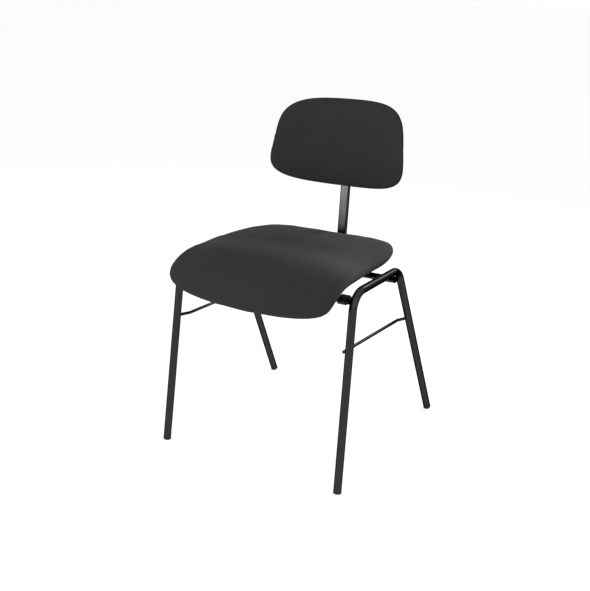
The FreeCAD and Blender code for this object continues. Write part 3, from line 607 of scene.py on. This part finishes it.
def back_surface(across, along, lift):
    """The backrest's middle surface leans back and is bent forwards at its sides. lift is
    the distance in front of it."""
    share = along / BACK_HALF_HEIGHT
    lift = lift * np.hypot(1, across / BACK_BEND)
    z = along * math.cos(BACK_LEAN) + lift * math.sin(BACK_LEAN)
    x = across * (1 - BACK_TAPER * z / BACK_HALF_HEIGHT)
    y = along * math.sin(BACK_LEAN) - lift * math.cos(BACK_LEAN)
    y = y + BACK_EDGE_SET * share ** 2 - x ** 2 / (2 * BACK_BEND)
    return np.stack([x, y + BACK_CENTRE[0], z + BACK_CENTRE[1]], -1)


def back_tied(points, normals):
    """The rear face, which lies on the board."""
    return normals[:, 1] > 0.8


back_outline = power_oval(
    around, BACK_HALF_WIDTH, BACK_HALF_HEIGHT, BACK_POWERS, BACK_BOWS, -BACK_OVERHANG,
)
back_rings = pad_rings(
    back_surface, back_outline, BACK_CROWN - BACK_SLACK, BACK_UNDER,
    BACK_CROWN_POWER, BACK_UNDER_POWER, BACK_RINGS,
)
back_pad = closed_mesh("back_pad", [back_rings])
inflate(back_pad, BACK_VOXEL, BACK_CAP, back_tied)
sew(back_pad, cloth)
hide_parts("back_cover", "back_foam")
plastic.cover("back_shell")


# The studio: a white floor and backdrop, a big soft lamp over the front left, weaker ones
# from the right and from low in front, one behind that lights the top runs, and the camera
# at the height of a standing person's chest.

FLOOR_HALF = 30
floor_mesh = bpy.data.meshes.new("floor")
floor_corners = [
    (-FLOOR_HALF, -FLOOR_HALF, 0), (FLOOR_HALF, -FLOOR_HALF, 0),
    (FLOOR_HALF, FLOOR_HALF, 0), (-FLOOR_HALF, FLOOR_HALF, 0),
]
floor_mesh.from_pydata(floor_corners, [], [(0, 1, 2, 3)])
floor = bpy.data.objects.new("floor", floor_mesh)
bpy.context.collection.objects.link(floor)

# The paper glows for rays that come straight from the camera or off a glossy face, so that
# it shows white, and lights the chair as plain paper does.

paper = Finish("studio_paper")
paper.put({"Base Color": (0.88, 0.88, 0.88), "Roughness": 0.95, "Specular IOR Level": 0.0})
ray = paper.node("ShaderNodeLightPath", out="Is Camera Ray")
gloss_ray = paper.node("ShaderNodeLightPath", out="Is Glossy Ray")
glow = paper.node("ShaderNodeEmission", {}, {"Color": (1.0, 1.0, 1.0), "Strength": 1.2})
plain = Value(paper, paper.shader.outputs[0])
mixed = paper.node("ShaderNodeMixShader", {}, {0: (ray + gloss_ray) * 0.7, 1: plain, 2: glow})
output = paper.tree.nodes["Material Output"]
paper.tree.links.new(mixed.socket, output.inputs["Surface"])
floor_mesh.materials.append(paper.material)

# The world shows at full strength to the same rays, and lights the chair at half of it.

world = bpy.data.worlds.new("studio")
bpy.context.scene.world = world
world.use_nodes = True
tree = world.node_tree
ground = tree.nodes["Background"]
ground.inputs["Color"].default_value = (1.0, 1.0, 1.0, 1.0)
path = tree.nodes.new("ShaderNodeLightPath")
direct = tree.nodes.new("ShaderNodeMath")
direct.operation = "MAXIMUM"
tree.links.new(path.outputs["Is Camera Ray"], direct.inputs[0])
tree.links.new(path.outputs["Is Glossy Ray"], direct.inputs[1])
level = tree.nodes.new("ShaderNodeMapRange")
level.inputs["To Min"].default_value = 0.5
level.inputs["To Max"].default_value = 1.0
tree.links.new(direct.outputs[0], level.inputs["Value"])
tree.links.new(level.outputs[0], ground.inputs["Strength"])


def lamp(name, place, target, side, power):
    """A square soft lamp of this side in metres, aimed at the target."""
    light = bpy.data.lights.new(name, "AREA")
    light.shape = "SQUARE"
    light.size = side
    light.energy = power
    made = bpy.data.objects.new(name, light)
    made.location = place
    made.rotation_mode = "QUATERNION"
    made.rotation_quaternion = (Vector(target) - Vector(place)).to_track_quat("-Z", "Y")
    bpy.context.collection.objects.link(made)


lamp("key_lamp", (-1.6, -1.8, 2.9), (0, 0, 0.45), 1.8, 24.0)
lamp("fill_lamp", (2.4, -1.2, 1.9), (0, 0, 0.4), 1.6, 12.0)
lamp("low_lamp", (-1.2, -2.1, 0.8), (0, 0, 0.6), 0.45, 10.0)
lamp("rear_lamp", (0.6, 2.0, 1.5), (0.2, 0, 0.5), 0.9, 52.0)

camera = bpy.data.cameras.new("camera")
camera.sensor_width = 36.0
camera.lens = 54.83
camera.shift_x = -0.0028
camera.shift_y = -0.0079
viewer = bpy.data.objects.new("camera", camera)
viewer.location = (1.1488, -1.897, 1.1731)
aim = Vector((0.0, -0.0178, 0.394)) - viewer.location
roll = Quaternion((0, 0, 1), math.radians(-0.18))
viewer.rotation_mode = "QUATERNION"
viewer.rotation_quaternion = aim.to_track_quat("-Z", "Y") @ roll
bpy.context.collection.objects.link(viewer)
bpy.context.scene.camera = viewer
bpy.context.scene.view_settings.view_transform = "Standard"
